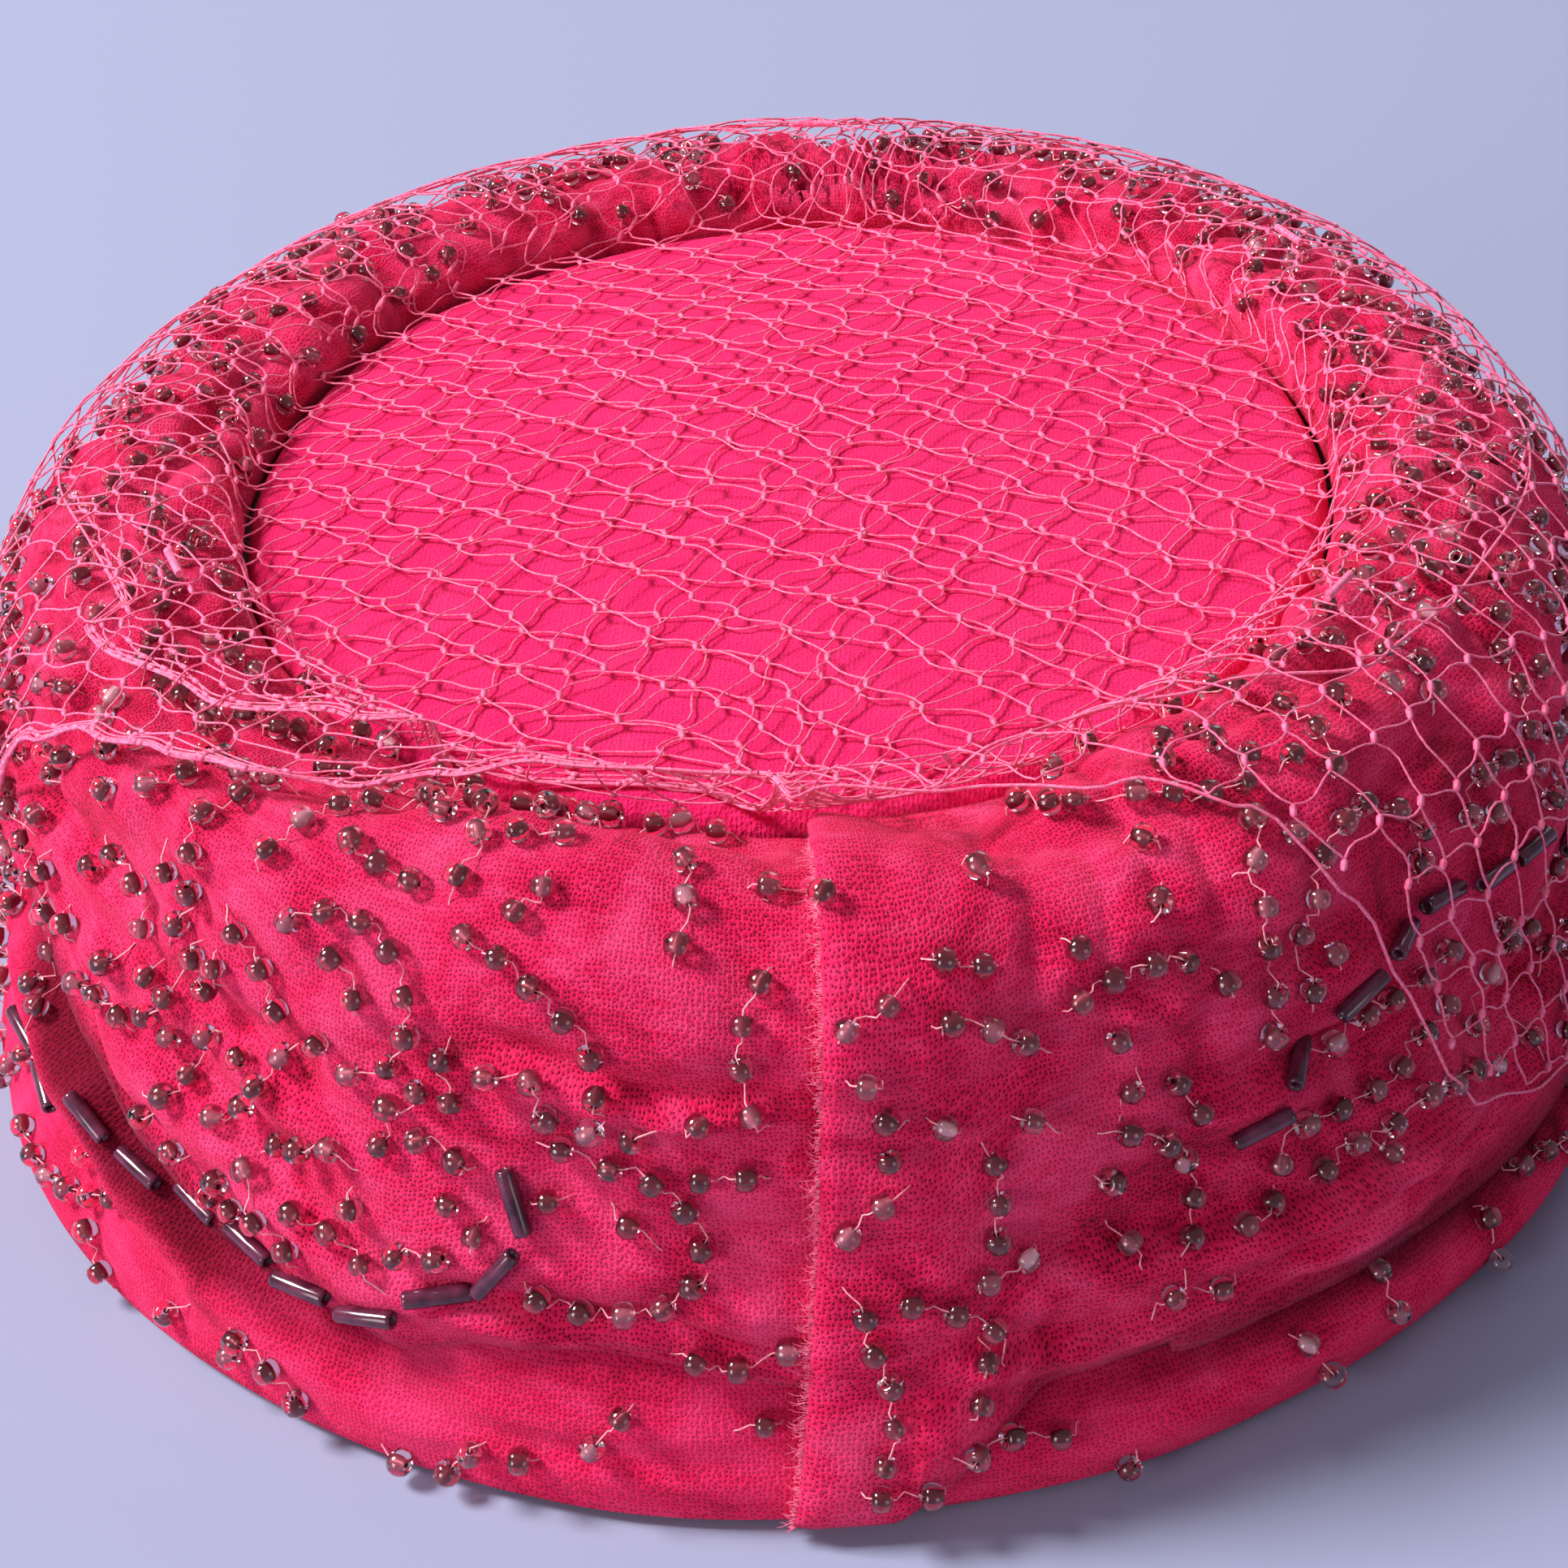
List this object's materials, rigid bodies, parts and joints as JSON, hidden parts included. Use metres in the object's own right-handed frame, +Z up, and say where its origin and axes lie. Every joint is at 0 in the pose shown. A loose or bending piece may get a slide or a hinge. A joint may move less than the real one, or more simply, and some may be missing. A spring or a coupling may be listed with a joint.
{
  "type": "pillbox headpiece",
  "caption": "Draped velvet pillbox headpiece with a padded roll round a recessed crown, a net veil and sewn glass beads.",
  "frame": {"origin": "centre of the head opening, on the plane of the rim", "axes": "+Z up through the crown, +Y towards the wearer's front, +X towards the wearer's right; the lapped end at the back of the drape is on the -Y side"},
  "size_m": [0.189, 0.2032, 0.063],
  "materials": {
    "velvet_crown": "short-pile velvet, hot pink",
    "velvet_drape": "short-pile velvet, hot pink, draped on the bias",
    "velvet_band": "short-pile velvet, hot pink",
    "veil_net": "knotted diamond net, pale pink thread",
    "thread": "sewing thread, pink",
    "buckram": "stiffened open-weave cloth, natural",
    "wadding": "cotton wadding, undyed",
    "lining": "plain-weave lining, rose",
    "grosgrain": "ribbed ribbon, deep rose",
    "wire": "cotton-covered spring wire",
    "bead_glass": "clear glass with a smoky lined hole",
    "plum_glass": "dark plum glass"
  },
  "bodies": {
    "root": {"side_wall": "buckram", "crown_plate": "buckram", "head_edge_wire": "wire", "crown_edge_wire": "wire", "headband_ribbon": "grosgrain", "lining_side": "lining", "lining_tip": "lining", "crown_wadding": "wadding", "crown_velvet": "velvet_crown", "roll_wadding": "wadding", "band_wadding": "wadding", "base_band": "velvet_band", "drape": "velvet_drape", "veil": "veil_net", "veil_tacks": "thread", "bugle_beads": "plum_glass", "seed_beads_lap": "bead_glass", "seed_beads_back_right": "bead_glass", "seed_beads_right": "bead_glass", "seed_beads_front": "bead_glass", "seed_beads_left": "bead_glass", "seed_beads_back_left": "bead_glass", "seed_beads_roll": "bead_glass", "seed_beads_rim": "bead_glass"}
  },
  "joints": []
}
